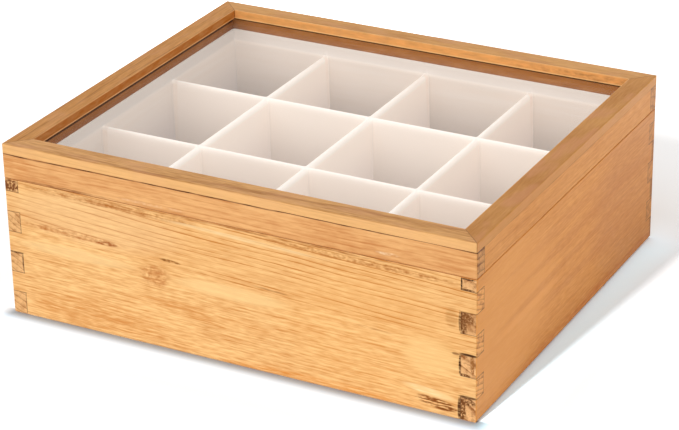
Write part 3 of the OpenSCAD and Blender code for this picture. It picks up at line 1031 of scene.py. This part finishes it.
# %% Materials of the hinges
def hinge_brass(name, seed, bright="D9B45C", dull="A67C33"):
    made = start_material(name)
    x, y, z = place_mm()
    wear = noise(vector(x / 3, y / 3, z / 3), detail=3.0, shift=seed)
    skin = blend_colours(0.5 + wear * 1.6, colour(bright), colour(dull))
    return finish_material(made, coated(skin, 0.3 + wear * 0.3, Metallic=1.0))


leaf_brass = hinge_brass("leaf_brass", 1.0)
pin_brass = hinge_brass("pin_brass", 2.0)
screw_brass = hinge_brass("screw_brass", 3.0, "E3C27A", "B8904A")
leaves = [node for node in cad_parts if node.endswith("_leaf")]
pins = [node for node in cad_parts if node.endswith("_pin")]
for node in leaves:
    dress(node, leaf_brass)
for node in pins:
    dress(node, pin_brass)
print("brass on", len(leaves), "leaves and", len(pins), "pins")

# %% [markdown]
# ## The shape of a hinge screw
#
# Two countersunk screws hold each leaf, so eight alike go into the box, four in each half. One
# could be modelled and copied by hand. Geometry Nodes do it better: they draw the screw once, from
# a few named sizes, which are in metres here. Its body is a line swept by a circle whose scale
# changes along it, which gives head, thread and point in one go, and two thin blocks cut the
# cross.

# %% One screw, from named sizes
SCREW_SIZES = {
    "Head radius": 0.0018, "Shank radius": 0.001, "Length": 0.008, "Point": 0.002,
    "Thread pitch": 0.0007, "Cross width": 0.0004, "Cross depth": 0.0004,
    "Hinge place": 0.1, "Screw spacing": 0.014, "Across": 0.1335, "Height": 0.093, "Turn over": 0.0,
}
RINGS_DOWN = 61
POINTS_ROUND = 28


def screw_shape(size):
    """A screw with its head at the origin and its point down."""
    tip = vector(0.0, 0.0, 0.0 - size["Length"])
    line = Sock.node("GeometryNodeCurvePrimitiveLine", {"Start": (0.0, 0.0, 0.0), "End": tip})
    line = Sock.node("GeometryNodeResampleCurve", {"Curve": line, "Count": RINGS_DOWN})
    depth = Sock.node("GeometryNodeSplineParameter", out="Length")
    wave = Sock.node("Math", {0: depth / size["Thread pitch"] * (2 * math.pi)}, operation="SINE")
    shank = size["Shank radius"] * (wave * 0.09 + 0.91)
    body = (size["Head radius"] - depth).most(shank)
    taper = ((size["Length"] - depth) / size["Point"]).least(1.0).most(0.05)
    ring = Sock.node("GeometryNodeCurvePrimitiveCircle", {"Resolution": POINTS_ROUND, "Radius": 1.0})
    screw = Sock.node("GeometryNodeCurveToMesh",
                      {"Curve": line, "Profile Curve": ring, "Scale": body * taper, "Fill Caps": True})
    arm = size["Shank radius"] * 2.0
    for block in (vector(arm, size["Cross width"], size["Cross depth"] * 2.0),
                  vector(size["Cross width"], arm, size["Cross depth"] * 2.0)):
        cutter = Sock.node("GeometryNodeMeshCube", {"Size": block})
        screw = Sock.node("GeometryNodeMeshBoolean", {"Mesh 1": screw, "Mesh 2": cutter},
                          operation="DIFFERENCE", solver="EXACT")
    return screw


print("a screw has", len(SCREW_SIZES), "named sizes")

# %% [markdown]
# ## The set of screws
#
# The holes of the leaves lie in two pairs, the same in both halves of the box. Four objects could
# be placed by number. Here a point's index tells which hinge and which hole it is, and the screw
# is set on every point. Each is turned by its own angle from a fixed seed, as a driver leaves it.
# The instances are made real at the end, because an exported mesh holds no instances.

# %% The tree of a screw set
SCREWS = 4
TURN_SEED = 5


def screw_places(size):
    """Four points: a pair of holes at each of the two hinges."""
    index = Sock.node("GeometryNodeInputIndex")
    side = Sock.node("Math", {0: index * 0.5}, operation="FLOOR")
    second = index - side * 2.0
    x = (side * 2.0 - 1.0) * size["Hinge place"] + (second - 0.5) * size["Screw spacing"]
    return Sock.node("GeometryNodePoints",
                     {"Count": SCREWS, "Position": vector(x, size["Across"], size["Height"])})


def screw_tree(metal):
    tree = bpy.data.node_groups.new("hinge_screws", "GeometryNodeTree")
    for name, size in SCREW_SIZES.items():
        socket = tree.interface.new_socket(name, in_out="INPUT", socket_type="NodeSocketFloat")
        socket.default_value = size
    tree.interface.new_socket("Geometry", in_out="OUTPUT", socket_type="NodeSocketGeometry")
    Sock.tree = tree
    given = tree.nodes.new("NodeGroupInput")
    size = {output.name: Sock(output) for output in given.outputs if output.name}
    screw = screw_shape(size)
    places = screw_places(size)
    spin = Sock.node("FunctionNodeRandomValue", {2: 0.0, 3: math.pi, 8: TURN_SEED}, out=1,
                     data_type="FLOAT")
    screws = Sock.node("GeometryNodeInstanceOnPoints",
                       {"Points": places, "Instance": screw,
                        "Rotation": vector(size["Turn over"], 0.0, spin)})
    real = Sock.node("GeometryNodeRealizeInstances", {"Geometry": screws})
    real = Sock.node("GeometryNodeSetMaterial", {"Geometry": real, "Material": metal})
    output = tree.nodes.new("NodeGroupOutput")
    tree.links.new(real.output, output.inputs["Geometry"])
    return tree


set_of_screws = screw_tree(screw_brass)
print("screw tree:", len(set_of_screws.nodes), "nodes")

# %% [markdown]
# ## Driving the screws
#
# The body's screws point down into the box, and the lid's are the same set turned over. The tree
# could stay live on its object, but an evaluated shape has to become a plain mesh before it can
# ride on its half of the box. A modifier's inputs are set by their identifiers, which the tree's
# interface gives, and not by their names.

# %% Screws of the body and of the lid
def drive_screws(name, body, node, **changes):
    screws = put(name, bpy.data.meshes.new(name + "_start"))
    modifier = screws.modifiers.new("screw_set", "NODES")
    modifier.node_group = set_of_screws
    for item in set_of_screws.interface.items_tree:
        if item.in_out == "INPUT":
            given = changes.get(item.name.replace(" ", "_"), SCREW_SIZES[item.name])
            modifier[item.identifier] = given
    graph = bpy.context.evaluated_depsgraph_get()
    solid = bpy.data.meshes.new_from_object(screws.evaluated_get(graph))
    screws.modifiers.remove(modifier)
    screws.data = solid
    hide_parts(node)
    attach(screws, body)
    top = max(vertex.co.z / MM for vertex in solid.vertices)
    print(name, len(solid.polygons), "faces, up to z = %.1f mm" % top)


drive_screws("body_screws", "base", "body_hinge_screws")
drive_screws("lid_screws", "lid", "lid_hinge_screws", Height=LID_BOTTOM * MM, Turn_over=math.pi)

# %% [markdown]
# ## The floor
#
# The box stands on white paper that runs to the edge of the picture, with a soft dark line where
# they touch, which is painted shade. One white material would take on the wood's warm bounce next
# to the box and would fade out unevenly behind it. So the paper answers rays in two ways. To the
# light it is an even grey, which brightens the box from below. To the eye it has a tone by place:
# cooler near the box, and brightened towards the back by painted light that fades the shadow out.

# %% Tones of the paper
PAPER = 0.62
OPEN_TONE = grey(0.9)
CLOSE_TONE = (0.98, 1.02, 1.05, 1.0)
RIGHT_TONE = (1.0, 1.29, 1.45, 1.0)
FRONT_TONE = (0.96, 1.08, 1.2, 1.0)


def paper_tone(x, y):
    from_x = (abs(x) - HALF_W).most(0.0)
    ahead = (0.0 - y - HALF_D).most(0.0)
    reach = (ahead * ahead + from_x * from_x) ** 0.5
    front = rise(0.0 - y, HALF_D - 6.0, HALF_D - 3.0)
    # Painted contact shade: a soft dark line in front of the box where it meets the paper.
    contact_shade = 1.0 - (1.0 - rise(reach, -2.0, 12.0)) * front * 0.7
    # Painted light: the paper brightens towards the back, which fades the shadow and ends it.
    painted_back_light = 0.92 + rise(y, -120.0, 300.0) * 0.36 + rise(y, 285.0, 330.0) * 0.6
    away = ((abs(y) - HALF_D).most(0.0) ** 2.0 + from_x * from_x) ** 0.5
    beside = rise(x, HALF_W - 4.0, HALF_W + 4.0) * (1.0 - rise(y, 115.0, 150.0))
    close = blend_colours(beside, CLOSE_TONE, RIGHT_TONE)
    close = blend_colours(rise(ahead, 1.0, 5.0), close, FRONT_TONE)
    tone = blend_colours(rise(away, 2.0, 38.0), close, OPEN_TONE)
    return Sock.node("VectorMath", {0: tone, "Scale": painted_back_light * contact_shade}, operation="SCALE")


def studio_paper():
    made = start_material("studio_paper")
    lit = Sock.node("BsdfDiffuse", {"Color": grey(PAPER)})
    x, y, _ = place_mm()
    shown = Sock.node("BsdfDiffuse", {"Color": paper_tone(x, y)})
    return finish_material(made, mix_shaders(ray_is(*SHOWING), lit, shown))


print("paper gives back %.0f%% of the light to the box" % (100 * PAPER))


# %% Lay the floor
FLOOR_HALF_M = 4.0


def build_floor():
    mesh = bmesh.new()
    bmesh.ops.create_grid(mesh, x_segments=4, y_segments=4, size=FLOOR_HALF_M)
    made = bpy.data.meshes.new("studio_floor")
    mesh.to_mesh(made)
    mesh.free()
    floor = put("studio_floor", made)
    made.materials.append(studio_paper())
    return floor


floor = build_floor()
print("floor %.0f m wide" % floor.dimensions.x)

# %% [markdown]
# ## The sky
#
# A white tent surrounds the box and gives most of its light. Large area lamps could stand for
# it, but they leave edges and bright spots on the pane. A white world lights from all round
# without any. Rays that look at it see full white, so the paper has nothing darker behind it.

# %% Sky
SKY = 0.80
WHITE = 1.0
sky = bpy.data.worlds.new("studio_sky")
sky.use_nodes = True
sky.node_tree.nodes.clear()
Sock.tree = sky.node_tree
wide = Sock.node("Background", {"Color": grey(1.0), "Strength": SKY})
white = Sock.node("Background", {"Color": grey(1.0), "Strength": WHITE})
mixed = mix_shaders(ray_is(*SHOWING), wide, white)
output = sky.node_tree.nodes.new("ShaderNodeOutputWorld")
sky.node_tree.links.new(mixed.output, output.inputs["Surface"])
bpy.context.scene.world = sky
print("sky %.2f for light, %.2f to look at" % (SKY, WHITE))

# %% [markdown]
# ## The two suns
#
# The box is lit softly from the front, yet its shadow on the right has a straight, sharp edge.
# One lamp can't give both. So there are two suns, linked by what they light: a narrow, low one for
# the floor alone, which draws the shadow, and a wide one for everything but the floor, which
# models the box.

# %% Suns
SOFT_SUN = {"direction": (-0.096, -0.823, 0.559), "power": 1.05, "degrees": 50.0}
LOW_SUN = {"direction": (-0.1082, -0.9273, 0.3584), "power": 5.3, "degrees": 3.0}


def build_sun(name, direction, power, degrees, lights_floor):
    """A lamp that lights the floor alone, or everything but the floor."""
    data = bpy.data.lights.new(name, "SUN")
    data.energy = power
    data.angle = math.radians(degrees)
    lamp = put(name, data)
    lamp.rotation_mode = "QUATERNION"
    lamp.rotation_quaternion = Vector(direction).to_track_quat("Z", "Y")
    lit = bpy.data.collections.new(name + "_lights")
    lit.objects.link(floor)
    lit.collection_objects[0].light_linking.link_state = "INCLUDE" if lights_floor else "EXCLUDE"
    lamp.light_linking.receiver_collection = lit
    print(name, "lights", "the floor" if lights_floor else "all but the floor")


build_sun("low_sun", lights_floor=True, **LOW_SUN)
build_sun("soft_sun", lights_floor=False, **SOFT_SUN)
bpy.context.scene.view_settings.view_transform = "Standard"

# %% [markdown]
# ## The camera
#
# The camera stands to the right of the front and looks down on the box through a long lens, so
# the box's edges are nearly parallel. It could be aimed at an empty. Its three angles, its place
# and the shift of its picture are given instead, because together they fix the view exactly.

# %% Camera
FOCAL_PX = 2502.0
IMAGE_W = 679.0
IMAGE_H = 430.0
CENTRE = (359.7, 214.0)
CAMERA_AT = (683.3, -1276.0, 727.4)
SENSOR = 36.0
SEES_TO_M = 20.0
AZIMUTH, ELEVATION, ROLL = (math.radians(v) for v in (27.67, 25.32, -0.82))

back = Vector((math.sin(AZIMUTH) * math.cos(ELEVATION), -math.cos(AZIMUTH) * math.cos(ELEVATION),
               math.sin(ELEVATION)))
right = (-back).cross(Vector((0, 0, 1))).normalized()
up = right.cross(-back)
rolled_right = right * math.cos(ROLL) + up * math.sin(ROLL)
rolled_up = up * math.cos(ROLL) - right * math.sin(ROLL)

camera_data = bpy.data.cameras.new("studio_camera")
camera_data.sensor_width = SENSOR
camera_data.lens = FOCAL_PX * SENSOR / IMAGE_W
camera_data.shift_x = (IMAGE_W / 2 - CENTRE[0]) / IMAGE_W
camera_data.shift_y = (CENTRE[1] - IMAGE_H / 2) / IMAGE_W
camera_data.clip_end = SEES_TO_M
camera = put("studio_camera", camera_data)
place = Matrix((rolled_right, rolled_up, back)).transposed().to_4x4()
place.translation = Vector(CAMERA_AT) * MM
camera.matrix_world = place
bpy.context.scene.camera = camera
print("camera lens %.1f mm" % camera_data.lens)

# %% [markdown] ## Corners A helper turns the corners of a box into plain lists of numbers.

# %% Corners as lists
def corners(box):
    return [[float(c) for c in corner] for corner in box]
